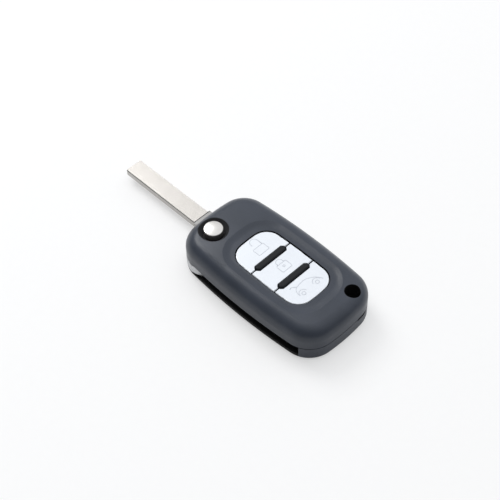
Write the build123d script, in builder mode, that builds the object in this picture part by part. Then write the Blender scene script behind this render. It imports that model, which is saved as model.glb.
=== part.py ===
from build123d import *
from math import hypot
import os

# A folding car key fob shell, with its blade folded out.
# The origin is the centre of the flat back face and Z points out of the key face.
# X runs from the blade end to the key-ring end, and the near side, where the slot is, faces -Y.
# All sizes are in millimetres.

os.makedirs("parts", exist_ok=True)

# Case
case_length = 72.1
case_width = 39.6
side_curve = 273.0
flip_end_curve = 79.0
ring_end_curve = 88.0
flip_corner_radius = 10.8
ring_corner_radius = 11.2
crown_height = 15.6
top_rounding = 5.0
back_rounding = 2.0
seam_height = 6.7
seam_groove = 0.14
wall = 1.7
floor_thickness = 1.6
roof_thickness = 1.75
rib = 1.2

# Window for the keys and the dish round it
window_from_flip_end = 21.0
window_from_ring_end = 14.0
window_from_side = 9.15
window_side_curve = 290.0
window_end_curve = 57.0
window_corner_radius = 7.0
dish_end_margin = 2.7
dish_side_margin = 1.3
dish_depth = 0.6
dish_run = 2.3
dish_blend = 0.5
dish_foot = 5.0

# Keys, ridges and what carries them
key_gap = 0.42
key_recess = 0.2
key_flange = 0.6
key_flange_thickness = 0.7
key_wall = 1.1
key_cap_thickness = 0.5
key_travel = 0.6
key_split = 0.55
key_edge = 0.3
play = 0.2
ridge_spacing = 11.9
ridge_width = 2.8
ridge_from_window = 3.0
ridge_point = 1.0
ridge_rise = 0.4
ridge_edge = 0.75
ridge_gap = 0.22
clamp_border = 3.0
mat_thickness = 0.6
frame_thickness = 0.8
pill_radius = 2.4
pill_drop = 0.2
stake_radius = 0.7
stake_spacing = 18.0

# Pivot and folding head
pivot_from_end = 8.8
pivot_from_side = 14.2
blade_offset = 6.4
blade_width = 7.8
blade_thickness = 2.8
blade_reach = 40.65
blade_tang = 7.0
blade_bevel = 0.25
tip_near_radius = 0.6
tip_far_radius = 1.3
nose_length = 5.3
nose_side = 0.45
nose_skin = 0.5
head_reach = 13.0
head_depth = 0.9
head_proud = 0.1
head_edge = 0.5
fold_clearance = 0.3
seat_clearance = 0.04
slot_tip_clearance = 1.4
slot_side_clearance = 1.0
pin_radius = 0.8
pin_bore = 0.35
pin_slit = 0.3
pin_from_nose_tip = 2.4

# Release button, its collar and the spring under it
release_radius = 3.75
release_height = 16.8
release_dome = 0.6
release_cap = 1.1
release_edge = 0.35
release_flange = 0.85
release_flange_thickness = 0.8
release_travel = 1.6
release_skirt_length = 3.4
release_wall = 0.8
running_clearance = 0.06
collar_radius = 6.0
collar_depth = 2.6
collar_lip = 0.15
collar_land = 0.3
collar_sink = 0.12
hub_wall = 1.2
anchor_height = 2.4
anchor_flats = 5.0
anchor_socket = 1.2
spring_wire = 0.55
spring_turns = 5

# Key-ring hole
ring_hole_radius = 3.0
ring_hole_from_end = 6.2
ring_hole_from_side = 10.4

# Screws
screw_radius = 0.9
screw_length = 8.0
screw_head_radius = 1.9
screw_head_height = 1.0
screw_head_sink = 0.15
screw_drive = 0.5
screw_slack = 0.1
screw_post_radius = 2.6
ring_screw_from_end = 6.4
ring_screw_from_side = 19.4
flip_screw_from_end = 23.2
flip_screw_from_side = 4.7

# Coin cell tray, which fills the bay beside the slot, and its contacts
tray_clearance = 0.6
tray_rim_height = 2.6
cell_slack = 0.3
cell_x = 6.0
tray_thickness = 1.0
tray_rim = 1.1
tray_ledge = 2.0
contact_thickness = 0.25
contact_width = 3.2
contact_lift = 0.5

# Pry slit at the ring end
pry_slit_length = 5.4
pry_slit_height = 0.5
pry_slit_depth = 0.9
pry_slit_from_side = 10.9


def bowed_rectangle(length, width, side_curve, end_curves, corner_radii, margin=0.0):
    """Rectangle with outward-curved sides and rounded corners, widened all round by a margin.

    It is the overlap of four large discs, so that a margin moves every arc by exactly that much.
    The ends' curves and corner radii are given -X first.
    """
    with BuildSketch() as outline:
        with Locations((0, side_curve - width / 2)):
            Circle(side_curve + margin)
        with Locations((0, width / 2 - side_curve)):
            Circle(side_curve + margin, mode=Mode.INTERSECT)
        with Locations(Location((end_curves[0] - length / 2, 0, 0), (0, 0, 90))):
            Circle(end_curves[0] + margin, mode=Mode.INTERSECT)
        with Locations(Location((length / 2 - end_curves[1], 0, 0), (0, 0, 90))):
            Circle(end_curves[1] + margin, mode=Mode.INTERSECT)
        fillet(outline.vertices().group_by(Axis.X)[-1], corner_radii[1] + margin)
        fillet(outline.vertices().group_by(Axis.X)[0], corner_radii[0] + margin)
    return outline.sketch


# Window sizes that follow from the case
window_length = case_length - window_from_flip_end - window_from_ring_end
window_width = case_width - 2 * window_from_side
window_shift = (window_from_flip_end - window_from_ring_end) / 2
ridge_length = window_width - 2 * ridge_from_window

# Heights that follow from the sizes above
dish_height = crown_height - dish_depth
roof_height = dish_height - roof_thickness
key_height = dish_height - key_recess
key_cap_bottom = key_height - key_cap_thickness
key_flange_top = roof_height - play
key_flange_bottom = key_flange_top - key_flange_thickness
mat_top = key_flange_bottom - key_travel - play
frame_top = mat_top - mat_thickness
frame_bottom = frame_top - frame_thickness
pill_bottom = frame_bottom - pill_drop
ridge_top = dish_height + ridge_rise
head_top = seam_height - fold_clearance
blade_top = head_top - nose_skin
blade_bottom = blade_top - blade_thickness
head_bottom = blade_bottom - head_depth
slot_floor = blade_bottom - fold_clearance
pocket_floor = head_bottom - fold_clearance

# Places that follow from the sizes above
half_length = case_length / 2
half_width = case_width / 2
pivot_x = -half_length + pivot_from_end
pivot_y = -half_width + pivot_from_side
blade_y = pivot_y + blade_offset
nose_tip_x = -half_length - nose_length
blade_tip_x = nose_tip_x - blade_reach
tang_end_x = nose_tip_x + blade_tang
slot_end_x = 2 * pivot_x - blade_tip_x + slot_tip_clearance
slot_back_y = 2 * pivot_y - blade_y + blade_width / 2 + slot_side_clearance
nose_root_reach = hypot(pivot_from_end + head_proud, blade_offset + blade_width / 2 + nose_side)
pocket_radius = max(nose_root_reach, pivot_from_side) + fold_clearance
ring_hole_place = (half_length - ring_hole_from_end, half_width - ring_hole_from_side)
ring_screw_place = (half_length - ring_screw_from_end, -half_width + ring_screw_from_side)
flip_screw_place = (-half_length + flip_screw_from_end, half_width - flip_screw_from_side)
screw_places = {"ring_end": ring_screw_place, "flip_end": flip_screw_place}
ridge_places = [window_shift - ridge_spacing / 2, window_shift + ridge_spacing / 2]
key_places = [window_shift - ridge_spacing, window_shift, window_shift + ridge_spacing]
key_cuts = [window_shift - window_length, *ridge_places, window_shift + window_length]
stake_y = (window_width + clamp_border + key_flange) / 2
stake_x = stake_spacing / 2
stake_places = [(window_shift + x, y) for x in (-stake_x, stake_x) for y in (-stake_y, stake_y)]
pin_x = nose_tip_x + pin_from_nose_tip
bay_near_y = slot_back_y + rib
bay_far_y = half_width - wall
cell_y = (bay_near_y + bay_far_y) / 2
tray_radius = (bay_far_y - bay_near_y) / 2 - tray_clearance
cell_radius = tray_radius - tray_rim - cell_slack
pivot_axis = Axis((pivot_x, pivot_y, 0), (0, 0, 1))
pivot_section = Plane(origin=(pivot_x, pivot_y, 0), x_dir=(1, 0, 0), z_dir=(0, -1, 0))

# Radii round the pivot
release_flange_radius = release_radius + release_flange
hub_bore_radius = release_radius + running_clearance
hub_radius = hub_bore_radius + hub_wall
hub_bearing_radius = hub_radius + running_clearance
spring_pocket_radius = release_radius - release_wall
spring_radius = spring_pocket_radius - play - spring_wire / 2
collar_bore_radius = release_radius + play

# Heights round the pivot
collar_seat = crown_height - collar_depth
flange_top = collar_seat - play
flange_bottom = flange_top - release_flange_thickness
hub_top = flange_bottom - release_travel - play
skirt_bottom = flange_bottom - release_skirt_length
anchor_top = pocket_floor + anchor_height
spring_top = release_height - release_dome - release_cap
spring_height = spring_top - anchor_top - spring_wire - 2 * seat_clearance
screw_seat = screw_head_sink + screw_head_height
screw_end = screw_seat + screw_length
tray_floor = floor_thickness + tray_thickness
stake_bottom = frame_bottom - pill_drop


def case_shape(margin=0.0):
    """The case's outline seen from above, widened by a margin."""
    return bowed_rectangle(
        case_length,
        case_width,
        side_curve,
        (flip_end_curve, ring_end_curve),
        (flip_corner_radius, ring_corner_radius),
        margin,
    )


def window_shape(end_margin=0.0, side_margin=0.0, margin=0.0):
    """The key window's outline, stretched at its ends and sides, then widened all round by a margin."""
    corner_radius = window_corner_radius + side_margin
    with BuildSketch() as shape:
        with Locations((window_shift, 0)):
            add(
                bowed_rectangle(
                    window_length + 2 * end_margin,
                    window_width + 2 * side_margin,
                    window_side_curve,
                    (window_end_curve, window_end_curve),
                    (corner_radius, corner_radius),
                    margin,
                )
            )
    return shape.sketch


def ridge_shape(margin=0.0):
    """The two ridges between the keys, widened by a margin."""
    with BuildSketch() as shape:
        with Locations(*[(x, 0) for x in ridge_places]):
            Rectangle(ridge_width + 2 * margin, ridge_length + 2 * margin)
        chamfer(shape.vertices(), ridge_point)
    return shape.sketch


def fold_shape(margin=0.0):
    """Room that the folding head and blade sweep, open to the flip end and the near side."""
    with BuildSketch() as shape:
        with Locations((pivot_x, slot_back_y + margin)):
            Rectangle(slot_end_x + margin - pivot_x, case_width, align=(Align.MIN, Align.MAX))
        with Locations((pivot_x, pivot_y)):
            Circle(pocket_radius + margin)
    return shape.sketch


# Solid of the whole closed case, from which both halves are cut
with BuildPart() as blank:
    with BuildSketch():
        add(case_shape())
    extrude(amount=crown_height)
    fillet(blank.faces().sort_by(Axis.Z)[-1].edges(), top_rounding)
    fillet(blank.faces().sort_by(Axis.Z)[0].edges(), back_rounding)

# Shallow dish round the keys, whose sloping walls run out softly into its floor
with BuildPart() as dish:
    with BuildSketch(Plane.XY.offset(dish_height)):
        add(window_shape(dish_end_margin, dish_side_margin))
    with BuildSketch(Plane.XY.offset(crown_height)):
        add(window_shape(dish_end_margin, dish_side_margin, dish_run))
    loft()
    fillet(dish.faces().sort_by(Axis.Z)[0].edges(), dish_foot)

# Hairline groove and pry slit where the halves meet
with BuildPart() as seam_line:
    with BuildSketch(Plane.XY.offset(seam_height - seam_groove)):
        add(case_shape(wall))
        add(case_shape(-seam_groove), mode=Mode.SUBTRACT)
    extrude(amount=2 * seam_groove)
    with BuildSketch(Plane.XY.offset(seam_height - pry_slit_height)):
        with Locations((half_length, half_width - pry_slit_from_side)):
            Rectangle(2 * pry_slit_depth, pry_slit_length)
    extrude(amount=pry_slit_height)

# Front half: hollow moulding with a deck over the folding blade and a tube for the release button
with BuildPart() as front_hollow:
    with BuildSketch(Plane.XY.offset(seam_height)):
        add(case_shape(-wall))
    extrude(amount=roof_height - seam_height)
    fillet(front_hollow.faces().sort_by(Axis.Z)[-1].edges(), top_rounding - wall)

with BuildPart() as front_case:
    add(blank.part)
    split(bisect_by=Plane.XY.offset(seam_height), keep=Keep.TOP)
    add(dish.part, mode=Mode.SUBTRACT)
    crest = front_case.faces().filter_by(Plane.XY).sort_by(Axis.Z)[-1]
    fillet(crest.inner_wires()[0].edges(), dish_blend)
    add(front_hollow.part, mode=Mode.SUBTRACT)
    add(seam_line.part, mode=Mode.SUBTRACT)
    # Deck that closes the blade slot and the head's pocket from the electronics
    with BuildSketch(Plane.XY.offset(seam_height)):
        add(fold_shape(rib))
        add(case_shape(-wall / 2), mode=Mode.INTERSECT)
    extrude(amount=rib)
    # Release tube, screw posts and key-ring tube stand between seam and roof
    with BuildSketch(Plane.XY.offset(seam_height)):
        with Locations((pivot_x, pivot_y)):
            Circle(collar_radius + rib)
        with Locations(*screw_places.values()):
            Circle(screw_post_radius)
        with Locations(ring_hole_place):
            Circle(ring_hole_radius + rib)
    extrude(amount=roof_height - seam_height)
    # Skirt that clamps the key mat, with stakes through mat and frame
    with BuildSketch(Plane.XY.offset(mat_top)):
        add(window_shape(margin=clamp_border))
        add(window_shape(margin=key_flange + fold_clearance), mode=Mode.SUBTRACT)
    extrude(amount=roof_height - mat_top)
    with BuildSketch(Plane.XY.offset(stake_bottom)):
        with Locations(*stake_places):
            Circle(stake_radius)
    extrude(amount=mat_top - stake_bottom)
    # Window, release bore with the collar's seat, screw pilots and key-ring hole
    with BuildSketch(Plane.XY.offset(roof_height - wall)):
        add(window_shape())
    extrude(amount=crown_height, mode=Mode.SUBTRACT)
    with BuildSketch(Plane.XY.offset(seam_height)):
        with Locations((pivot_x, pivot_y)):
            Circle(hub_bearing_radius)
        with Locations(ring_hole_place):
            Circle(ring_hole_radius)
    extrude(amount=crown_height, mode=Mode.SUBTRACT)
    with BuildSketch(Plane.XY.offset(collar_seat)):
        with Locations((pivot_x, pivot_y)):
            Circle(collar_radius)
    extrude(amount=crown_height, mode=Mode.SUBTRACT)
    with BuildSketch(Plane.XY.offset(seam_height)):
        with Locations(*screw_places.values()):
            Circle(screw_radius + screw_slack / 2)
    extrude(amount=screw_end - seam_height + play, mode=Mode.SUBTRACT)

# Back half: tray-shaped moulding whose raised bed holds the slot and the head's pocket
with BuildPart() as back_case:
    add(blank.part)
    split(bisect_by=Plane.XY.offset(seam_height), keep=Keep.BOTTOM)
    with BuildSketch(Plane.XY.offset(floor_thickness)):
        add(case_shape(-wall))
    extrude(amount=seam_height, mode=Mode.SUBTRACT)
    add(seam_line.part, mode=Mode.SUBTRACT)
    with BuildSketch(Plane.XY.offset(floor_thickness)):
        add(fold_shape(rib))
        add(case_shape(-wall / 2), mode=Mode.INTERSECT)
    extrude(amount=seam_height - floor_thickness)
    with BuildSketch(Plane.XY.offset(floor_thickness)):
        with Locations(*screw_places.values()):
            Circle(screw_post_radius)
        with Locations(ring_hole_place):
            Circle(ring_hole_radius + rib)
    extrude(amount=seam_height - floor_thickness)
    with BuildSketch(Plane.XY.offset(slot_floor)):
        add(fold_shape())
    extrude(amount=seam_height, mode=Mode.SUBTRACT)
    # The head reaches deeper than the blade
    with BuildSketch(Plane.XY.offset(pocket_floor)):
        with Locations((pivot_x, pivot_y)):
            Circle(pocket_radius)
    extrude(amount=seam_height, mode=Mode.SUBTRACT)
    # Hexagonal socket of the spring anchor, screw holes and key-ring hole
    with BuildSketch(Plane.XY.offset(pocket_floor - anchor_socket)):
        with Locations((pivot_x, pivot_y)):
            RegularPolygon(anchor_flats / 2 + seat_clearance, 6, major_radius=False)
    extrude(amount=anchor_socket, mode=Mode.SUBTRACT)
    with BuildSketch():
        with Locations(*screw_places.values()):
            Circle(screw_radius + screw_slack)
        with Locations(ring_hole_place):
            Circle(ring_hole_radius)
    extrude(amount=seam_height, mode=Mode.SUBTRACT)
    with BuildSketch():
        with Locations(*screw_places.values()):
            Circle(screw_head_radius + screw_slack)
    extrude(amount=screw_seat, mode=Mode.SUBTRACT)

# Collar: black funnel ring flush with the case round the release button
with BuildPart() as release_collar:
    with BuildSketch(pivot_section):
        with BuildLine():
            Polyline(
                (collar_bore_radius, collar_seat),
                (collar_radius - seat_clearance, collar_seat),
                (collar_radius - seat_clearance, crown_height),
                (collar_radius - collar_lip, crown_height),
                (collar_bore_radius, collar_seat + collar_land),
                close=True,
            )
        make_face()
    revolve(axis=pivot_axis)
    add(blank.part.moved(Location((0, 0, -collar_sink))), mode=Mode.INTERSECT)

# Release button: domed cap, trapped flange and a hollow skirt that guides in the head's hub
with BuildPart() as release_button:
    with BuildSketch(pivot_section) as release_profile:
        with BuildLine():
            dome = ThreePointArc(
                (0, release_height),
                (release_radius / 2, release_height - release_dome / 4),
                (release_radius, release_height - release_dome),
            )
            Polyline(
                dome @ 1,
                (release_radius, flange_top),
                (release_flange_radius, flange_top),
                (release_flange_radius, flange_bottom),
                (release_radius, flange_bottom),
                (release_radius, skirt_bottom),
                (spring_pocket_radius, skirt_bottom),
                (spring_pocket_radius, spring_top),
                (0, spring_top),
                (0, release_height),
            )
        make_face()
        rim = release_profile.vertices().sort_by_distance((release_radius, release_height, 0))[0]
        fillet(rim, release_edge)
    revolve(axis=pivot_axis)

# Spring anchor: round plug on a hexagonal foot, lower bearing of the head
with BuildPart() as spring_anchor:
    with BuildSketch(Plane.XY.offset(pocket_floor - anchor_socket + seat_clearance)):
        with Locations((pivot_x, pivot_y)):
            RegularPolygon(anchor_flats / 2, 6, major_radius=False)
    extrude(amount=anchor_socket - seat_clearance)
    with BuildSketch(Plane.XY.offset(pocket_floor)):
        with Locations((pivot_x, pivot_y)):
            Circle(release_radius)
    extrude(amount=anchor_height)
    with BuildSketch(Plane.XY.offset(anchor_top)):
        with Locations((pivot_x, pivot_y)):
            Circle(spring_radius - spring_wire)
    extrude(amount=anchor_height)
    chamfer(spring_anchor.faces().sort_by(Axis.Z)[-1].edges(), spring_wire)

# Flip spring: round wire coil between anchor and button
with BuildPart() as flip_spring:
    with BuildLine(Plane((pivot_x, pivot_y, anchor_top + spring_wire / 2 + seat_clearance))) as coil:
        Helix(spring_height / spring_turns, spring_height, spring_radius)
    with BuildSketch(Plane(origin=coil.line @ 0, z_dir=coil.line % 0)):
        Circle(spring_wire / 2)
    sweep(path=coil.line)

# Folding head: its plan is the case outline that fits both ways round the pivot
proud_outline = case_shape(head_proud)
with BuildPart() as flip_head:
    with BuildSketch(Plane.XY.offset(head_bottom)):
        add(proud_outline)
        add(proud_outline.rotate(pivot_axis, 180), mode=Mode.INTERSECT)
        with Locations((pivot_x, pivot_y)):
            Circle(head_reach, mode=Mode.INTERSECT)
    extrude(amount=head_top - head_bottom)
    fillet(flip_head.faces().filter_by(Plane.XY).edges(), head_edge)
    with BuildSketch(Plane.XY.offset(blade_bottom)) as nose:
        with Locations((nose_tip_x, blade_y)):
            Rectangle(pivot_x - nose_tip_x, blade_width + 2 * nose_side, align=(Align.MIN, Align.CENTER))
        fillet(nose.vertices().group_by(Axis.X)[0], nose_side)
    extrude(amount=head_top - blade_bottom)
    with BuildSketch(Plane.XY.offset(head_bottom)):
        with Locations((pivot_x, pivot_y)):
            Circle(hub_radius)
    extrude(amount=hub_top - head_bottom)
    with BuildSketch(Plane.XY.offset(head_bottom)):
        with Locations((pivot_x, pivot_y)):
            Circle(hub_bore_radius)
    extrude(amount=hub_top - head_bottom, mode=Mode.SUBTRACT)
    with BuildSketch(Plane.XY.offset(blade_bottom)):
        with Locations((nose_tip_x, blade_y)):
            Rectangle(2 * (blade_tang + seat_clearance), blade_width + 2 * seat_clearance)
    extrude(amount=blade_thickness, mode=Mode.SUBTRACT)
    with BuildSketch(Plane.XY.offset(blade_bottom)):
        with Locations((pin_x, blade_y)):
            Circle(pin_radius + seat_clearance)
    extrude(amount=head_top - blade_bottom, mode=Mode.SUBTRACT)

# Blade: flat uncut bar with rounded tip corners, its tang held in the nose by the roll pin
with BuildPart() as blade:
    with BuildSketch(Plane.XY.offset(blade_bottom)) as blade_plan:
        with Locations((blade_tip_x, blade_y)):
            Rectangle(tang_end_x - blade_tip_x, blade_width, align=(Align.MIN, Align.CENTER))
        tip_corners = blade_plan.vertices().group_by(Axis.X)[0].sort_by(Axis.Y)
        fillet(tip_corners[0], tip_near_radius)
        fillet(tip_corners[-1], tip_far_radius)
    extrude(amount=blade_thickness)
    long_edges = blade.edges().filter_by(Axis.X)
    chamfer(long_edges, blade_bevel)
    with BuildSketch(Plane.XY.offset(blade_bottom)):
        with Locations((pin_x, blade_y)):
            Circle(pin_radius + seat_clearance)
    extrude(amount=blade_thickness, mode=Mode.SUBTRACT)

# Roll pin: slit tube through nose and tang
with BuildPart() as blade_roll_pin:
    with BuildSketch(Plane.XY.offset(blade_bottom + seat_clearance)):
        with Locations((pin_x, blade_y)):
            Circle(pin_radius)
            Circle(pin_bore, mode=Mode.SUBTRACT)
            Rectangle(pin_radius, pin_slit, align=(Align.MIN, Align.CENTER), mode=Mode.SUBTRACT)
    extrude(amount=head_top - blade_bottom - 2 * seat_clearance)

# Key frame: plate behind the mat with three pill holes and the two ridges between the keys
with BuildPart() as keypad_frame:
    with BuildSketch(Plane.XY.offset(frame_bottom)):
        add(window_shape(margin=clamp_border))
        with Locations(*[(x, 0) for x in key_places]):
            Circle(pill_radius + play, mode=Mode.SUBTRACT)
        with Locations(*stake_places):
            Circle(stake_radius + seat_clearance, mode=Mode.SUBTRACT)
    extrude(amount=frame_thickness)
    with BuildSketch(Plane.XY.offset(frame_top)):
        add(ridge_shape())
    extrude(amount=ridge_top - frame_top)
    fillet(keypad_frame.faces().sort_by(Axis.Z)[-2:].edges(), ridge_edge)

# Key mat: silicone sheet between frame and skirt, with a contact pill under each key
with BuildPart() as keypad_membrane:
    with BuildSketch(Plane.XY.offset(frame_top)):
        add(window_shape(margin=clamp_border))
        add(ridge_shape(seat_clearance), mode=Mode.SUBTRACT)
        with Locations(*stake_places):
            Circle(stake_radius + seat_clearance, mode=Mode.SUBTRACT)
    extrude(amount=mat_thickness)
    with BuildSketch(Plane.XY.offset(pill_bottom)):
        with Locations(*[(x, 0) for x in key_places]):
            Circle(pill_radius)
    extrude(amount=frame_top - pill_bottom)


def key_shape(index, margin, inset=0.0):
    """One key's share of the window, widened by a margin, with its cut sides set in from its neighbours."""
    low_x = key_cuts[index] + key_split / 2 + inset
    high_x = key_cuts[index + 1] - key_split / 2 - inset
    with BuildSketch() as shape:
        add(window_shape(margin=margin))
        with Locations((low_x, 0)):
            Rectangle(high_x - low_x, case_width, align=(Align.MIN, Align.CENTER), mode=Mode.INTERSECT)
    return shape.sketch


# Keys: hollow black bodies with a flange under the window's rim, and a thin white cap on each
keys = {}
for index, name in enumerate(("button_unlock", "button_lock", "button_boot")):
    with BuildPart() as key:
        with BuildSketch(Plane.XY.offset(key_flange_bottom)):
            add(key_shape(index, -key_gap))
        extrude(amount=key_cap_bottom - key_flange_bottom)
        with BuildSketch(Plane.XY.offset(key_flange_bottom)):
            add(key_shape(index, key_flange))
        extrude(amount=key_flange_thickness)
        with BuildSketch(Plane.XY.offset(key_flange_bottom)):
            add(ridge_shape(ridge_gap))
        extrude(amount=crown_height, mode=Mode.SUBTRACT)
        with BuildSketch(Plane.XY.offset(key_flange_bottom)):
            add(key_shape(index, -key_gap - key_wall, key_wall))
            add(ridge_shape(ridge_gap + key_wall), mode=Mode.SUBTRACT)
            with Locations((key_places[index], 0)):
                Circle(pill_radius, mode=Mode.SUBTRACT)
        extrude(amount=key_height - key_wall - key_flange_bottom, mode=Mode.SUBTRACT)
    keys[name] = key.part
    with BuildPart() as cap:
        with BuildSketch(Plane.XY.offset(key_cap_bottom)):
            add(key_shape(index, -key_gap))
        extrude(amount=key_cap_thickness)
        fillet(cap.faces().sort_by(Axis.Z)[-1].edges(), key_edge)
        with BuildSketch(Plane.XY.offset(key_cap_bottom)):
            add(ridge_shape(ridge_gap))
        extrude(amount=key_cap_thickness, mode=Mode.SUBTRACT)
    keys[name + "_cap"] = cap.part

# Screws: pan heads sunk in the back, driven up into the front posts
screws = {}
for name, place in screw_places.items():
    with BuildPart() as screw:
        with BuildSketch(Plane.XY.offset(screw_seat - screw_head_height)):
            with Locations(place):
                Circle(screw_head_radius)
        extrude(amount=screw_head_height)
        fillet(screw.faces().sort_by(Axis.Z)[0].edges(), screw_head_height / 3)
        with BuildSketch(Plane.XY.offset(screw_seat)):
            with Locations(place):
                Circle(screw_radius)
        extrude(amount=screw_length)
        chamfer(screw.faces().sort_by(Axis.Z)[-1].edges(), screw_radius * 0.6)
        with BuildSketch(Plane.XY.offset(screw_seat - screw_head_height)):
            with Locations(place):
                Rectangle(screw_head_radius * 1.2, screw_drive)
                Rectangle(screw_drive, screw_head_radius * 1.2)
        extrude(amount=screw_head_height * 0.6, mode=Mode.SUBTRACT)
    screws["case_screw_" + name] = screw.part

# Coin cell tray: ring with an open floor, standing on the back half's floor
with BuildPart() as cell_tray:
    with BuildSketch(Plane.XY.offset(floor_thickness)):
        with Locations((cell_x, cell_y)):
            Circle(tray_radius)
            Circle(cell_radius - tray_ledge, mode=Mode.SUBTRACT)
            Rectangle(2 * cell_radius, contact_width + 2 * tray_rim)
    extrude(amount=tray_thickness)
    with BuildSketch(Plane.XY.offset(tray_floor)):
        with Locations((cell_x, cell_y)):
            Circle(tray_radius)
            Circle(cell_radius + cell_slack, mode=Mode.SUBTRACT)
            with Locations((tray_radius, 0)):
                Rectangle(cell_radius, contact_width + 2 * play, mode=Mode.SUBTRACT)
    extrude(amount=tray_rim_height)


def bent_strip(points):
    """Sheet-metal strip of the contacts' thickness and width, bent along a line in the cell's XZ plane."""
    with BuildPart() as strip:
        with BuildSketch(Plane.XZ.offset(-cell_y)):
            with BuildLine():
                Polyline(*points)
                offset(amount=contact_thickness, side=Side.LEFT)
            make_face()
        extrude(amount=contact_width / 2, both=True)
    return strip.part


# Contacts: a leaf on the tray's floor for the minus pole and a hook over the rim for the plus pole
cell_contact_minus = bent_strip(
    [
        (cell_x - cell_radius + tray_ledge, tray_floor),
        (cell_x - cell_radius / 4, tray_floor),
        (cell_x + cell_radius / 4, tray_floor + contact_lift),
        (cell_x + cell_radius / 2, tray_floor + contact_lift / 2),
    ]
)
hook_x = cell_x + tray_radius + play
cell_contact_plus = bent_strip(
    [
        (cell_x + cell_radius - tray_ledge, tray_floor + tray_rim_height - contact_lift),
        (hook_x, tray_floor + tray_rim_height),
        (hook_x, floor_thickness),
        (hook_x + contact_width, floor_thickness),
    ]
)

pieces = {
    "front_case": front_case.part,
    "back_case": back_case.part,
    "release_collar": release_collar.part,
    "release_button": release_button.part,
    "spring_anchor": spring_anchor.part,
    "flip_spring": flip_spring.part,
    "flip_head": flip_head.part,
    "blade": blade.part,
    "blade_roll_pin": blade_roll_pin.part,
    "keypad_frame": keypad_frame.part,
    "keypad_membrane": keypad_membrane.part,
    "cell_tray": cell_tray.part,
    "cell_contact_minus": cell_contact_minus,
    "cell_contact_plus": cell_contact_plus,
    **keys,
    **screws,
}
for name, piece in pieces.items():
    piece.label = name
    export_step(piece, "parts/" + name + ".step")
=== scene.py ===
# %% [markdown]
# # A folding key fob shell, dressed for the camera
# The imported CAD model comes in as twenty-two rigid pieces, whose placements are baked into their meshes.
# Nothing here moves or reshapes them. This script gives them moulded plastic, lacquer and metal finishes,
# and adds the signs on the keys. It winds one spring anew and hides the imported one. It also sets up the
# camera, the floor and the soft lamps.

# %% Load the fixed frame
import math

import bpy
import numpy as np
from mathutils import Matrix, Vector


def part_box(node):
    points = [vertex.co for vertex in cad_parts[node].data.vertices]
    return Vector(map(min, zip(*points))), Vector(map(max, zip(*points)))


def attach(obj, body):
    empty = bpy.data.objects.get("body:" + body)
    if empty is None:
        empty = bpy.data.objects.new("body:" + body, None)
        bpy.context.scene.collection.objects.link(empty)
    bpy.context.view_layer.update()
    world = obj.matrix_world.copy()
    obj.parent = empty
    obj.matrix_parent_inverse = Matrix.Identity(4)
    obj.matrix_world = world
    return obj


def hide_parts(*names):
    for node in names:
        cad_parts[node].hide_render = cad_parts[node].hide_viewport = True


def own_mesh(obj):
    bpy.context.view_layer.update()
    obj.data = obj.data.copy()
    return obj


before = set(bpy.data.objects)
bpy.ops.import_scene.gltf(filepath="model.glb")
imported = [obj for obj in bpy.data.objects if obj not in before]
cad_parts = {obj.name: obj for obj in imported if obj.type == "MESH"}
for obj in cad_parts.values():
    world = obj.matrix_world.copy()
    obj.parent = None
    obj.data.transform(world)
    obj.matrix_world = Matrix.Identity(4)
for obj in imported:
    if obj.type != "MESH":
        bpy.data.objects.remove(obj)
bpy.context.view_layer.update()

MM = 0.001

# %% [markdown]
# ## Camera
# The fob lies on its back with the blade pointing away to the upper left. The viewpoint was worked out from
# the outline of the case and the long edges of the blade: a steep view from the near right corner, about
# forty-six centimetres away through a long lens, with the camera rolled a little.
# The three axes of the camera are written down as the columns of its matrix: to the right, up and backwards.
# The roll turns the first two about the third.

# %% Place the camera
VIEW_AZIMUTH = math.radians(47.027)
VIEW_ELEVATION = math.radians(50.713)
VIEW_ROLL = math.radians(2.154)
VIEW_DISTANCE = 456.76 * MM
VIEW_TARGET = np.array([-14.89, 1.336, 7.8]) * MM
LENS_MM = 86.536
NEAREST_SEEN = 10 * MM

level_right = np.array([math.cos(VIEW_AZIMUTH), math.sin(VIEW_AZIMUTH), 0.0])
level_ahead = np.array([-math.sin(VIEW_AZIMUTH), math.cos(VIEW_AZIMUTH), 0.0])
overhead = np.array([0.0, 0.0, 1.0])
backwards = math.sin(VIEW_ELEVATION) * overhead - math.cos(VIEW_ELEVATION) * level_ahead
upwards = math.cos(VIEW_ELEVATION) * overhead + math.sin(VIEW_ELEVATION) * level_ahead
rolled_right = math.cos(VIEW_ROLL) * level_right - math.sin(VIEW_ROLL) * upwards
rolled_up = math.sin(VIEW_ROLL) * level_right + math.cos(VIEW_ROLL) * upwards

camera = bpy.data.objects.new("camera", bpy.data.cameras.new("camera"))
camera.data.lens = LENS_MM
camera.data.clip_start = NEAREST_SEEN
turn = Matrix(np.column_stack([rolled_right, rolled_up, backwards]).tolist())
camera.matrix_world = Matrix.LocRotScale(Vector(VIEW_TARGET + VIEW_DISTANCE * backwards), turn, None)
bpy.context.scene.collection.objects.link(camera)
bpy.context.scene.camera = camera
bpy.context.scene.view_settings.view_transform = "Standard"
print("camera at", [round(value, 4) for value in camera.location])

# %% [markdown]
# ## Shader arithmetic
# A finish is easier to read as a formula than as a list of linked nodes. `Signal` wraps one output socket and
# overloads the operators, so that an expression such as `1 - mask` adds its Math nodes by itself.
# `Finish` owns one material, and its `node` method adds any other node: settings first, then the sockets.
# The node that mixes colours knows its sockets by number.

# %% Signal and Finish
MIX_FACTOR = 0
MIX_FIRST = 6
MIX_SECOND = 7
MIX_RESULT = 2


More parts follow.
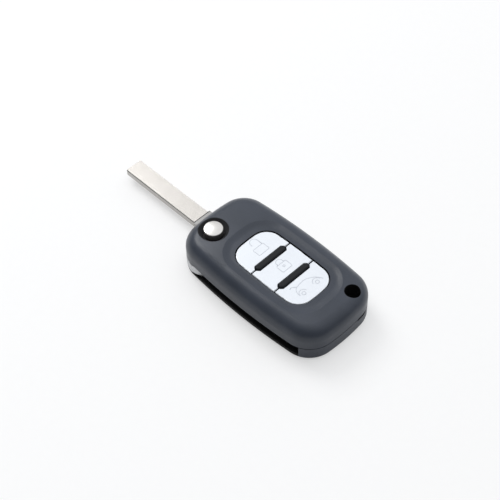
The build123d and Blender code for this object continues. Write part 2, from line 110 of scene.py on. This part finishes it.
class Signal:
    """One output socket of a material's node tree, with Python's arithmetic."""

    def __init__(self, finish, socket):
        self.finish = finish
        self.socket = socket

    def _math(self, operation, *values):
        sockets = dict(enumerate(values))
        return self.finish.node("ShaderNodeMath", {"operation": operation}, sockets)

    def __add__(self, other):
        return self._math("ADD", self, other)

    __radd__ = __add__

    def __sub__(self, other):
        return self._math("SUBTRACT", self, other)

    def __rsub__(self, other):
        return self._math("SUBTRACT", other, self)

    def __mul__(self, other):
        return self._math("MULTIPLY", self, other)

    __rmul__ = __mul__

    def __pow__(self, other):
        return self._math("POWER", self, other)

    def largest(self, other):
        return self._math("MAXIMUM", self, other)

    def smallest(self, other):
        return self._math("MINIMUM", self, other)

    def size(self):
        return self._math("ABSOLUTE", self)

    def sine(self):
        return self._math("SINE", self)

    def ramp(self, low, high):
        """Goes from 0 at low to 1 at high in a smooth step, and stays there outside."""
        settings = {"interpolation_type": "SMOOTHSTEP"}
        sockets = {"Value": self, "From Min": low, "From Max": high}
        return self.finish.node("ShaderNodeMapRange", settings, sockets)


class Finish:
    """One material built around a Principled shader."""

    def __init__(self, name, **sockets):
        self.material = bpy.data.materials.new(name)
        self.material.use_nodes = True
        self.tree = self.material.node_tree
        self.shader = self.tree.nodes["Principled BSDF"]
        self.place = self.node("ShaderNodeTexCoord", output="Object")
        self.set(**sockets)

    def node(self, kind, settings=None, sockets=None, output=0):
        made = self.tree.nodes.new(kind)
        for name, value in (settings or {}).items():
            setattr(made, name, value)
        for name, value in (sockets or {}).items():
            self.feed(made.inputs[name], value)
        return Signal(self, made.outputs[output])

    def feed(self, socket, value):
        if isinstance(value, Signal):
            self.tree.links.new(value.socket, socket)
        else:
            socket.default_value = value

    def set(self, **sockets):
        """Sets the shader's sockets, whose names are written with _ for a space."""
        for name, value in sockets.items():
            self.feed(self.shader.inputs[name.replace("_", " ")], value)

    def tint(self, mask, colour):
        """Lays another colour over the finish where mask is 1."""
        below = Signal(self, self.shader.inputs["Base Color"].links[0].from_socket)
        self.set(Base_Color=self.mix(mask, below, colour))

    def axes(self):
        """The place on the object as three signals in millimetres."""
        sockets = {"Vector": self.place, "Scale": 1 / MM}
        scaled = self.node("ShaderNodeVectorMath", {"operation": "SCALE"}, sockets)
        return [self.node("ShaderNodeSeparateXYZ", None, {"Vector": scaled}, axis) for axis in "XYZ"]

    def stretched(self, x=1.0, y=1.0, z=1.0):
        """The place with each axis scaled, which draws a pattern out along the small ones."""
        return self.node("ShaderNodeVectorMath", {"operation": "MULTIPLY"}, {0: self.place, 1: (x, y, z)})

    def noise(self, size_mm, detail=2.0, place=None):
        """Smooth noise around 0.5 whose features are about size_mm across."""
        sockets = {"Vector": place or self.place, "Scale": 1 / (size_mm * MM), "Detail": detail}
        return self.node("ShaderNodeTexNoise", None, sockets)

    def mix(self, factor, first, second):
        """Colour that goes from first to second as factor goes from 0 to 1."""
        sockets = {MIX_FACTOR: factor, MIX_FIRST: first, MIX_SECOND: second}
        return self.node("ShaderNodeMix", {"data_type": "RGBA"}, sockets, MIX_RESULT)

    def bump(self, height, depth_mm):
        """Bends the shading as if the surface stood up by height times depth_mm."""
        sockets = {"Height": height, "Distance": depth_mm * MM, "Strength": 1.0}
        self.set(Normal=self.node("ShaderNodeBump", None, sockets))


def linear(red, green, blue):
    """A colour given in screen values from 0 to 255, as the linear light that a shader needs."""
    share = np.array([red, green, blue]) / 255
    light = np.where(share > 0.04045, ((share + 0.055) / 1.055) ** 2.4, share / 12.92)
    return (*light.tolist(), 1.0)


# %% [markdown]
# ## Floor
# The fob was shown on bright white. The floor is a plain sheet of pale paper that catches the soft shadow.
# To the camera it also glows, so that it renders as white without more light on the fob. Reflections see
# some of that glow too, so they show the same white floor, and yet enough of the paper's own shading that
# the walls of the case still mirror the soft shadow that lies round the fob.

# %% Make the floor
FLOOR_HALF_SIZE = 4.0
GLOW_SHARE = 0.5
GLOW_IN_GLOSS = 0.2
WHITE = (1.0, 1.0, 1.0, 1.0)

floor_mesh = bpy.data.meshes.new("floor")
floor_corners = np.array([(-1, -1, 0), (1, -1, 0), (1, 1, 0), (-1, 1, 0)]) * FLOOR_HALF_SIZE
floor_mesh.from_pydata(floor_corners.tolist(), [], [(0, 1, 2, 3)])
floor = bpy.data.objects.new("floor", floor_mesh)
bpy.context.scene.collection.objects.link(floor)

paper = Finish("floor_paper", Roughness=0.9, Specular_IOR_Level=0.0)
paper.set(Base_Color=paper.mix(paper.noise(3.0), linear(244, 244, 244), linear(248, 248, 248)))
looks = ("Is Camera Ray", "Is Glossy Ray", "Is Transmission Ray")
to_camera, to_gloss, to_glass = [paper.node("ShaderNodeLightPath", output=look) for look in looks]
seen = to_camera.largest(to_gloss * GLOW_IN_GLOSS).largest(to_glass)
plain = Signal(paper, paper.shader.outputs[0])
glow = paper.node("ShaderNodeEmission", None, {"Color": WHITE, "Strength": 1.0})
cover = paper.node("ShaderNodeMixShader", None, {0: seen * GLOW_SHARE, 1: plain, 2: glow})
paper.feed(paper.tree.nodes["Material Output"].inputs["Surface"], cover)
floor_mesh.materials.append(paper.material)
print("floor is", 2 * FLOOR_HALF_SIZE, "m wide")

# %% [markdown]
# ## Light
# The case has a bright top, a dark band along its near shoulder and a sheen at the blade end. That is how a
# satin surface mirrors a room that is bright overhead and beyond the fob, and dim on the camera's side. So
# the world fades along a tilted axis. One soft lamp past the blade puts the sheen on the blade end. A large
# one overhead fills in the plain diffuse light. It is hidden from mirror-like reflections, where metal
# would show it as a bright square.

# %% World and lamps
BRIGHT_AXIS = (-0.10, 0.55, 0.83)
FADE = {"From Min": 0.1, "From Max": 1.0, "To Min": 0.13, "To Max": 0.92}
SKY_COLOUR = (0.95, 0.97, 1.0, 1.0)

world = bpy.data.worlds.new("studio")
world.use_nodes = True
bpy.context.scene.world = world
sky = world.node_tree
place_in_sky = sky.nodes.new("ShaderNodeTexCoord")
along_axis = sky.nodes.new("ShaderNodeVectorMath")
along_axis.operation = "DOT_PRODUCT"
along_axis.inputs[1].default_value = BRIGHT_AXIS
sky_fade = sky.nodes.new("ShaderNodeMapRange")
sky_fade.interpolation_type = "SMOOTHSTEP"
for name, value in FADE.items():
    sky_fade.inputs[name].default_value = value
sky.links.new(place_in_sky.outputs["Generated"], along_axis.inputs[0])
sky.links.new(along_axis.outputs["Value"], sky_fade.inputs["Value"])
sky.links.new(sky_fade.outputs[0], sky.nodes["Background"].inputs["Strength"])
sky.nodes["Background"].inputs["Color"].default_value = SKY_COLOUR


def soft_lamp(name, place, power, size):
    """Square soft lamp of power watts, at a place in metres, turned to face the middle of the fob."""
    lamp = bpy.data.objects.new(name, bpy.data.lights.new(name, "AREA"))
    lamp.data.energy = power
    lamp.data.size = size
    lamp.location = place
    towards = Vector(VIEW_TARGET) - lamp.location
    lamp.rotation_euler = towards.to_track_quat("-Z", "Y").to_euler()
    bpy.context.scene.collection.objects.link(lamp)
    return lamp


soft_lamp("sheen_lamp", place=(-0.70, 0.08, 0.71), power=3.8, size=0.45)
fill_lamp = soft_lamp("fill_lamp", place=(-0.10, 0.10, 1.50), power=7.0, size=1.5)
fill_lamp.visible_glossy = False

# %% [markdown]
# ## Charcoal case plastic
# Both case halves are moulded in black plastic and sprayed outside with a charcoal soft-touch lacquer. The
# lacquer has a very fine grain and a broad, soft shine. The real top is slightly crowned, by a few degrees
# from side to side and again towards the blade end, and the CAD keeps it flat. The crown is two parabolas
# added to the grain's relief, and only the sheen shows it. Near-black is painted inside the slot, the holes
# and the key window, on the strip beneath the slot and over the short slit at the ring end where the halves
# are prised apart. It is partly the bare black plastic and partly painted shade: the strip's dark is painted
# shade, and the mark over the slit is painted taller than the cut slit. The seam and the hidden inside walls
# are bare plastic. So the finish needs to know which points lie there. Each cavity is a simple test on the
# place: a box, a disc, or the depth below a rounded rectangle that stands for the case outline.
# All sizes are in millimetres.

# %% Sizes that the case finish goes by
CASE_HALF_LENGTH = 36.05
CASE_HALF_WIDTH = 19.8
CASE_CORNER = 11.0
CASE_WALL = 1.6
CROWN = 15.6
TOP_ROUNDING = 5.0
ROOF_UNDERSIDE = 13.5
FLOOR_TOP = 1.5
DISH_FLOOR = 15.0
SEAM = 6.7
SLOT_FLOOR = 2.8
POCKET_FLOOR = 1.9
SLOT_END_X = 28.9
SLOT_BACK_Y = -7.1
STRIP_FOOT = 0.35
PIVOT = (-27.25, -5.6)
POCKET_RADIUS = 14.5
RING_HOLE = (29.85, 9.4)
RING_HOLE_RADIUS = 3.0
PRY_SLIT_X = 35.0
PRY_SLIT_CENTRE = (8.9, 6.4)
# The dark mark painted over the pry slit is painted shade, taller than the cut slit
PRY_SLIT_HALF_SIZE = (2.75, 0.6)
WINDOW_CENTRE = (3.5, 0.0)
WINDOW_HALF_SIZE = (19.2, 11.3)
CROWN_RADIUS = 170.0
BROW_X = -16.0
BROW_RADIUS = 130.0
GRAIN_HEIGHT = 0.004
EDGE = 0.05
SEAM_MARGIN = 3 * EDGE
print("case outline for the masks:", 2 * CASE_HALF_LENGTH, "x", 2 * CASE_HALF_WIDTH, "mm")

# %% [markdown]
# A mask is 1 inside its cavity and 0 outside. The tests are written as distances that are below zero
# inside, so that the largest of several distances is their overlap, and the product of two masks is theirs.

# %% Tests on the place
def distance(x, y, centre):
    """Distance from a vertical axis through centre."""
    return ((x - centre[0]) * (x - centre[0]) + (y - centre[1]) * (y - centre[1])) ** 0.5


def below_zero(signal):
    """1 where signal is below zero, with an edge as soft as EDGE."""
    return 1 - signal.ramp(-EDGE / 2, EDGE / 2)


def in_box(x, y, centre, half_size):
    """1 in a box on two axes, around centre."""
    return below_zero(((x - centre[0]).size() - half_size[0]).largest((y - centre[1]).size() - half_size[1]))


def blade_slot(x, y, z):
    """1 on the slot and the head's pocket, and on the strip beneath them, whose dark is painted shade."""
    slot_plan = below_zero((y - SLOT_BACK_Y - EDGE).largest(x - SLOT_END_X - EDGE)) * below_zero(PIVOT[0] - x)
    pocket_plan = below_zero(distance(x, y, PIVOT) - POCKET_RADIUS - EDGE)
    slot = slot_plan * below_zero(SLOT_FLOOR - EDGE - z)
    pocket = pocket_plan * below_zero(POCKET_FLOOR - EDGE - z)
    # The strip beneath the slot and pocket is painted shade
    strip = below_zero(z - SLOT_FLOOR - EDGE) * below_zero(STRIP_FOOT - z)
    cut = slot.largest(pocket) * below_zero(z - SEAM - SEAM_MARGIN)
    return cut.largest(slot_plan.largest(pocket_plan) * strip)


def inside_walls(x, y, z):
    """1 deeper than the wall below the rounded rectangle whose top edge is rounded by a quarter circle."""
    beyond_x = (x.size() - CASE_HALF_LENGTH + CASE_CORNER).largest(0)
    beyond_y = (y.size() - CASE_HALF_WIDTH + CASE_CORNER).largest(0)
    outline = (beyond_x * beyond_x + beyond_y * beyond_y) ** 0.5 - CASE_CORNER
    rise = (z - (CROWN - TOP_ROUNDING)).largest(0).smallest(TOP_ROUNDING)
    inset = TOP_ROUNDING - (TOP_ROUNDING**2 - rise * rise) ** 0.5
    between = below_zero(z - ROOF_UNDERSIDE) * below_zero(FLOOR_TOP - z)
    return below_zero(outline + inset + CASE_WALL) * between


def bare_and_shaded(finish):
    """1 on the bare inside and on the painted shade in the cavities, and 0 on the lacquered outside."""
    x, y, z = finish.axes()
    # The pry slit's mark, the key window's walls and the ring hole get painted shade as well as bare plastic
    pry_slit = in_box(y, z, PRY_SLIT_CENTRE, PRY_SLIT_HALF_SIZE) * below_zero(PRY_SLIT_X - x)
    window_plan = in_box(x, y, WINDOW_CENTRE, WINDOW_HALF_SIZE)
    window = window_plan * below_zero(z - DISH_FLOOR + EDGE) * below_zero(SEAM - z)
    ring_hole = below_zero(distance(x, y, RING_HOLE) - RING_HOLE_RADIUS - EDGE)
    seam = below_zero((z - SEAM).size() - SEAM_MARGIN)
    marks = blade_slot(x, y, z).largest(pry_slit).largest(seam)
    return marks.largest(window).largest(ring_hole).largest(inside_walls(x, y, z))


# %% Case finish
lacquer = Finish("case_lacquer", Specular_IOR_Level=0.38)
bare_and_shade = bare_and_shaded(lacquer)
cloud = lacquer.noise(14.0, 3.0)
speck = lacquer.noise(0.22, 1.0)
tone = (cloud * 0.6 + speck * 0.4).ramp(0.35, 0.65)
charcoal = lacquer.mix(tone, linear(53, 58, 67), linear(60, 65, 75))
# Near-black: the bare plastic, and painted shade in the slot, holes, window, slit and on the strip below
lacquer.set(Base_Color=lacquer.mix(bare_and_shade, charcoal, linear(12, 12, 13)))
lacquer.set(Roughness=0.33 + 0.05 * cloud + 0.4 * bare_and_shade)
grain = lacquer.noise(0.16, 2.0)
across_x, across_y, _ = lacquer.axes()
past_brow = (BROW_X - across_x).largest(0)
brow = past_brow * past_brow * (0.5 / BROW_RADIUS)
crown = 0 - across_y * across_y * (0.5 / CROWN_RADIUS) - brow
lacquer.bump(crown + grain * GRAIN_HEIGHT, 1.0)
print("case finish has", len(lacquer.tree.nodes), "nodes")

# %% [markdown]
# ## Black mouldings
# The key bodies, the coin cell tray and the spring's plug are bare black plastic with a slight gloss and
# the faint clouding of a polished mould. The collar round the release button is matt, so its funnel
# swallows the light. The carrier of the keys has a duller, eroded surface, which shows on the two ridges.
# The mat is silicone.

# %% Black plastics and mat
gloss_black = Finish("inner_black", Specular_IOR_Level=0.5)
flow = gloss_black.noise(2.5, 3.0, gloss_black.stretched(1, 1, 2))
gloss_black.set(Base_Color=gloss_black.mix(flow, linear(15, 15, 16), linear(24, 24, 26)))
gloss_black.set(Roughness=0.28 + 0.12 * flow)
gloss_black.bump(gloss_black.noise(0.3, 2.0), 0.002)

ridge_black = Finish("ridge_black", Specular_IOR_Level=0.25)
erosion = ridge_black.noise(0.12, 3.0)
ridge_black.set(Base_Color=ridge_black.mix(erosion, linear(14, 16, 19), linear(24, 27, 31)))
ridge_black.set(Roughness=0.46 + 0.16 * erosion)
ridge_black.bump(erosion, 0.01)

matt_black = Finish("collar_black", Specular_IOR_Level=0.15)
scuff = matt_black.noise(0.15, 3.0)
matt_black.set(Base_Color=matt_black.mix(scuff, linear(38, 38, 39), linear(50, 50, 52)))
matt_black.set(Roughness=0.75 + 0.12 * scuff)
matt_black.bump(scuff, 0.004)

silicone = Finish("mat_silicone", Roughness=0.6)
dust = silicone.noise(0.4, 3.0)
silicone.set(Base_Color=silicone.mix(dust, linear(26, 26, 27), linear(40, 40, 42)))
silicone.bump(silicone.noise(0.25, 2.0), 0.006)

# %% [markdown]
# ## Key lacquer
# The three keys have white caps under a pearl coat: cool silver-white, with tiny bright flakes that shift the
# tone from grain to grain. A thin clear coat gives them a sharper shine than the case.

# %% Key finish
FLAKE_SIZE = 0.18

pearl = Finish("key_pearl", Specular_IOR_Level=0.5, Coat_Roughness=0.12)
flake_sockets = {"Vector": pearl.place, "Scale": 1 / (FLAKE_SIZE * MM)}
flake = pearl.node("ShaderNodeTexVoronoi", None, flake_sockets, "Color")
flake_tone = pearl.node("ShaderNodeSeparateColor", None, {"Color": flake})
haze = pearl.noise(6.0, 2.0)
pearl_tone = flake_tone * 0.5 + haze * 0.5
pearl.set(Base_Color=pearl.mix(pearl_tone, linear(226, 230, 237), linear(239, 243, 247)))
pearl.set(Metallic=0.12 + 0.10 * flake_tone, Roughness=0.30 + 0.10 * flake_tone)
pearl.set(Coat_Weight=0.25 + 0.1 * haze)
pearl.bump(flake_tone, 0.0015)

# %% [markdown]
# ## Metals
# Six metals differ in how they were worked. The release button is polished on a lathe, so its marks are
# rings about the pivot. The blade is ground along its length. The die-cast head is tumbled and plated,
# which leaves a soft mottle. Spring and pin are drawn, the contacts are rolled, and the screws are
# blackened.

# %% Metals and their marks
RING_PITCH = 0.12
RING_WANDER = 5


def rings(finish):
    """Turning marks about the pivot: a sine of the distance from it, roughened by noise, from 0 to 1."""
    x, y, _ = finish.axes()
    wander = finish.noise(0.6, 2.0)
    turns = distance(x, y, PIVOT) * (2 * math.pi / RING_PITCH)
    return 0.5 + 0.5 * (turns + RING_WANDER * wander).sine()


def ground(finish):
    """Grinding marks along X, a tenth of a millimetre apart."""
    return finish.noise(0.10, 2.0, finish.stretched(0.02, 1, 1))


def tumbled(finish):
    """Soft mottle without a direction."""
    return finish.noise(0.35, 3.0)


def drawn(finish):
    """Fine streaks along Z."""
    return finish.noise(0.08, 2.0, finish.stretched(1, 1, 0.2))


def metal(name, dark, light, roughness, marks, mark_depth_mm):
    """Metal whose colour goes from dark to light by a broad stain, with worked marks in sheen and relief."""
    finish = Finish(name, Metallic=1.0)
    stain = finish.noise(4.0, 2.0)
    finish.set(Base_Color=finish.mix(stain, linear(*dark), linear(*light)))
    pattern = marks(finish)
    finish.set(Roughness=roughness + 0.08 * pattern)
    finish.bump(pattern, mark_depth_mm)
    return finish


chrome = metal("button_chrome", (222, 219, 214), (238, 236, 231), 0.33, rings, 0.0006)
blade_steel = metal("blade_ground", (214, 209, 202), (228, 223, 217), 0.18, ground, 0.0012)
cast_plate = metal("head_plate", (186, 187, 189), (206, 207, 208), 0.28, tumbled, 0.003)
spring_wire = metal("spring_wire", (150, 151, 153), (180, 181, 183), 0.30, drawn, 0.001)
contact_plate = metal("contact_plate", (206, 204, 196), (224, 222, 214), 0.24, ground, 0.0008)
black_screw = metal("screw_black", (52, 52, 54), (76, 76, 79), 0.34, tumbled, 0.002)
print("metals:", [finish.material.name for finish in (chrome, blade_steel, cast_plate, spring_wire)])

# %% [markdown]
# The blade is blanked from strip. Its long side faces are painted darker than its top, as painted shade, and
# the narrow bevels between them are painted lighter, as a painted highlight. A dark line of painted shade
# stands at its root, where it enters the head. The nose of the head is coloured darker than the rest. Only
# the cap of the release button is plated: its flange and its hollow skirt are bare black plastic.

# %% Duller and darker places on the metals
BLADE_Y = 0.8
BLADE_FLAT_DEPTH = 3.62
BLADE_EDGE_DEPTH = 3.87
BLADE_ROOT_X = -41.3
ROOT_LINE_WIDTH = 0.3
NOSE_X = -37.4
CAP_FOOT = 13.3


def root_shade_line(finish):
    """Paints a dark line of shade across the blade's root."""
    x, _, _ = finish.axes()
    finish.tint(below_zero((x - BLADE_ROOT_X).size() - ROOT_LINE_WIDTH), linear(46, 45, 44))


off_middle = (blade_steel.axes()[1] - BLADE_Y).size()
# Painted highlight on the narrow bevels, then painted shade on the long side faces
blade_steel.tint(below_zero(BLADE_FLAT_DEPTH - off_middle), linear(252, 248, 243))
blade_steel.tint(below_zero(BLADE_EDGE_DEPTH - off_middle), linear(178, 175, 171))
root_shade_line(blade_steel)
cast_plate.tint(below_zero(cast_plate.axes()[0] - NOSE_X), linear(158, 157, 155))
root_shade_line(cast_plate)
below_cap = below_zero(chrome.axes()[2] - CAP_FOOT)
chrome.tint(below_cap, linear(16, 16, 17))
chrome.set(Metallic=1 - below_cap)
print("blade finish has", len(blade_steel.tree.nodes), "nodes")

# %% [markdown]
# ## Finishes onto the CAD pieces
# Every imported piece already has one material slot, named after the finish that the record asks for. The
# piece's shape is right as it is, so only the material in that slot is exchanged.

# %% Exchange the materials
finishes = {
    "case_plastic": lacquer,
    "inner_plastic": gloss_black,
    "ridge_plastic": ridge_black,
    "mat_rubber": silicone,
    "key_plastic": pearl,
    "chrome": chrome,
    "head_metal": cast_plate,
    "blade_steel": blade_steel,
    "spring_steel": spring_wire,
    "contact_metal": contact_plate,
    "screw_steel": black_screw,
}
for name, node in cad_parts.items():
    for holder in node.material_slots:
        holder.material = finishes[holder.material.name].material
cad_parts["release_collar"].material_slots[0].material = matt_black.material
print("dressed", len(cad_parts), "CAD pieces")

# %% [markdown]
# ## Meshes of the added pieces
# The signs and the spring are meshes computed from points in millimetres. Their sides are quads and are
# shaded smooth, and the caps at their ends stay flat.

# %% Make a piece from points and faces
def add_piece(name, points, faces, finish):
    """Links a new object whose mesh has these points, in millimetres, and these faces."""
    mesh = bpy.data.meshes.new(name)
    mesh.from_pydata((points * MM).tolist(), [], faces)
    mesh.polygons.foreach_set("use_smooth", [len(face) == 4 for face in faces])
    mesh.materials.append(finish.material)
    piece = bpy.data.objects.new(name, mesh)
    bpy.context.scene.collection.objects.link(piece)
    return piece


# %% [markdown]
# ## Signs on the keys
# Each cap carries a plain outline sign in low relief: an open padlock, a closed one, and a car with its
# boot open. On the real cap the line is moulded, about a quarter of a millimetre wide and far too fine for
# the CAD source. Here each line is a bead with a half-round profile carried along a path. The paths are
# drawn in the plane of the keys, from straight runs and arcs, with "up" on the sign towards the blade.

# %% Paths of the signs
def arc(centre, radius, start, end, count=17):
    """Points of a circular arc, centre + radius * (cos a, sin a) for even steps of the angle a in degrees."""
    angle = np.radians(np.linspace(start, end, count))
    return np.array(centre) + radius * np.column_stack([np.cos(angle), np.sin(angle)])


def rounded_box(low, high, radius):
    """Closed path round a box: four quarter arcs, joined by the straight runs between their ends."""
    inner_low, inner_high = np.array(low) + radius, np.array(high) - radius
    return np.vstack([
        arc((inner_high[0], inner_high[1]), radius, 0, 90, 7),
        arc((inner_low[0], inner_high[1]), radius, 90, 180, 7),
        arc((inner_low[0], inner_low[1]), radius, 180, 270, 7),
        arc((inner_high[0], inner_low[1]), radius, 270, 360, 7),
    ])


def shackle(foot, centre, radius, tail):
    """Open path of a padlock's bow: from its foot straight up, round a half circle and down by tail."""
    bow = arc(centre, radius, 90, 270)
    return np.vstack([[(foot, centre[1] + radius)], bow, [(centre[0] + tail, centre[1] - radius)]])


car_body = np.array([
    (17.4, -4.8), (16.4, -4.9), (15.2, -4.5), (14.4, -3.9), (13.9, -3.1), (13.7, -2.0), (13.5, -0.6),
    (13.4, 0.7), (13.6, 2.0), (14.2, 3.3), (14.8, 4.3), (15.5, 5.2), (16.6, 6.1), (17.9, 6.7),
])
open_lid = np.array([(13.8, -3.1), (13.2, -3.7), (12.6, -4.5), (12.8, -5.6)])

# Each sign is a list of (path, closed) pairs, in millimetres on X and Y of the fob
signs = {
    "unlock": [
        (rounded_box((-9.7, -2.0), (-6.2, 3.2), 0.5), True),
        (shackle(-9.7, (-12.1, 1.0), 1.75, 0.7), False),
    ],
    "lock": [
        (rounded_box((2.0, -1.5), (5.6, 3.3), 0.5), True),
        (shackle(2.0, (1.3, 0.9), 1.45, 0.7), False),
        (arc((3.6, 0.9), 0.45, 0, 340), True),
    ],
    "boot": [
        (car_body, False),
        (open_lid, False),
        (arc((17.5, -3.1), 1.7, 100, 265), False),
        (arc((17.6, -3.1), 0.75, 0, 340), True),
        (arc((17.4, 4.1), 1.8, 100, 255), False),
        (arc((17.5, 4.1), 0.75, 0, 340), True),
    ],
}

# %% [markdown]
# The profile is half a circle squeezed to its height, and its foot is sunk a little into the cap so that no
# light shows under it. Row i of the grid is the profile set square to the path at its point i. A path that
# isn't closed gets a flat face at each end.

# %% Beads from the paths
BEAD_HALF_WIDTH = 0.14
BEAD_HEIGHT = 0.05
BEAD_FOOT = 0.03
KEY_TOP = 14.8

half_turn = np.linspace(0, math.pi, 9)
half_round = np.column_stack([BEAD_HALF_WIDTH * np.cos(half_turn), BEAD_HEIGHT * np.sin(half_turn)])
bead_profile = np.vstack([half_round, [(-BEAD_HALF_WIDTH, -BEAD_FOOT), (BEAD_HALF_WIDTH, -BEAD_FOOT)]])


def bead(path, closed):
    """Points and faces of one bead: point (i, j) is path point i, plus across j times the sideways direction
    at i, plus height j upwards, where (across j, height j) is the profile."""
    ahead = np.roll(path, -1, axis=0) - np.roll(path, 1, axis=0)
    if not closed:
        ahead[0] = path[1] - path[0]
        ahead[-1] = path[-1] - path[-2]
    ahead /= np.linalg.norm(ahead, axis=1, keepdims=True)
    sideways = np.column_stack([-ahead[:, 1], ahead[:, 0]])
    plan = path[:, None, :] + bead_profile[None, :, :1] * sideways[:, None, :]
    height = np.broadcast_to(KEY_TOP + bead_profile[:, 1:], (len(path), len(bead_profile), 1))
    points = np.concatenate([plan, height], axis=2).reshape(-1, 3)
    index = np.arange(len(points)).reshape(len(path), len(bead_profile))
    rows = index if closed else index[:-1]
    following = np.roll(index, -1, axis=0) if closed else index[1:]
    beside = np.roll(index, -1, axis=1)[: len(rows)]
    beside_following = np.roll(following, -1, axis=1)
    quads = np.stack([rows, beside, beside_following, following], axis=2).reshape(-1, 4).tolist()
    caps = [] if closed else [index[0][::-1].tolist(), index[-1].tolist()]
    return points, quads + caps


sign_finish = Finish("key_sign", Specular_IOR_Level=0.5)
wear = sign_finish.noise(0.5, 2.0)
sign_finish.set(Base_Color=sign_finish.mix(wear, linear(192, 197, 205), linear(210, 214, 221)))
sign_finish.set(Roughness=0.35 + 0.1 * wear)
sign_finish.bump(wear, 0.003)

for name, paths in signs.items():
    points, faces = np.zeros((0, 3)), []
    for path, closed in paths:
        more_points, more_faces = bead(path, closed)
        faces += [[corner + len(points) for corner in face] for face in more_faces]
        points = np.vstack([points, more_points])
    sign = add_piece(name + "_sign", points, faces, sign_finish)
    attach(sign, name + "_key")
    print(name, "sign has", len(faces), "faces")

# %% [markdown]
# ## The spring under the release button
# The imported spring is rigid, so the button would pass through it. This one is wound to the same size, with
# its foot on the plug, and rides with the case. Its wire follows a helix. At each step along it, the ring of
# the wire lies across the direction of travel: one axis of the ring points away from the coil's middle, and
# the other is square to that and to the wire.

# %% Wind the spring
SPRING_TURNS = 5
STEPS_A_TURN = 48
WIRE_RADIUS = 0.275
WIRE_SIDES = 12


def coil(centre, foot, top, radius):
    """Points and faces of a wire round a helix. Its middle line is centre + radius * (cos a, sin a) in plan
    and climbs evenly from foot to top. Point (i, j) lies WIRE_RADIUS * (cos b * outwards + sin b * across)
    from it."""
    a = np.linspace(0, 2 * math.pi * SPRING_TURNS, SPRING_TURNS * STEPS_A_TURN + 1)[:, None]
    b = np.linspace(0, 2 * math.pi, WIRE_SIDES, endpoint=False)[None, :, None]
    climb = (top - foot) / a[-1, 0]
    outwards = np.hstack([np.cos(a), np.sin(a), 0 * a])
    ahead = np.hstack([-radius * np.sin(a), radius * np.cos(a), climb + 0 * a])
    ahead /= np.linalg.norm(ahead, axis=1, keepdims=True)
    across = np.cross(ahead, outwards)
    middle = np.array([*centre, foot]) + radius * outwards + np.hstack([0 * a, 0 * a, climb * a])
    ring = np.cos(b) * outwards[:, None, :] + np.sin(b) * across[:, None, :]
    points = (middle[:, None, :] + WIRE_RADIUS * ring).reshape(-1, 3)
    index = np.arange(len(points)).reshape(-1, WIRE_SIDES)
    beside = np.roll(index, -1, axis=1)
    quads = np.stack([index[:-1], beside[:-1], beside[1:], index[1:]], axis=2).reshape(-1, 4).tolist()
    return points, quads + [index[0][::-1].tolist(), index[-1].tolist()]


spring_low, spring_high = [np.array(corner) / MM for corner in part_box("flip_spring")]
coil_radius = (spring_high[0] - spring_low[0]) / 2 - WIRE_RADIUS
points, faces = coil(PIVOT, spring_low[2] + WIRE_RADIUS, spring_high[2] - WIRE_RADIUS, coil_radius)
spring = add_piece("wound_spring", points, faces, spring_wire)
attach(spring, "case")
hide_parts("flip_spring")

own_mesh(spring)
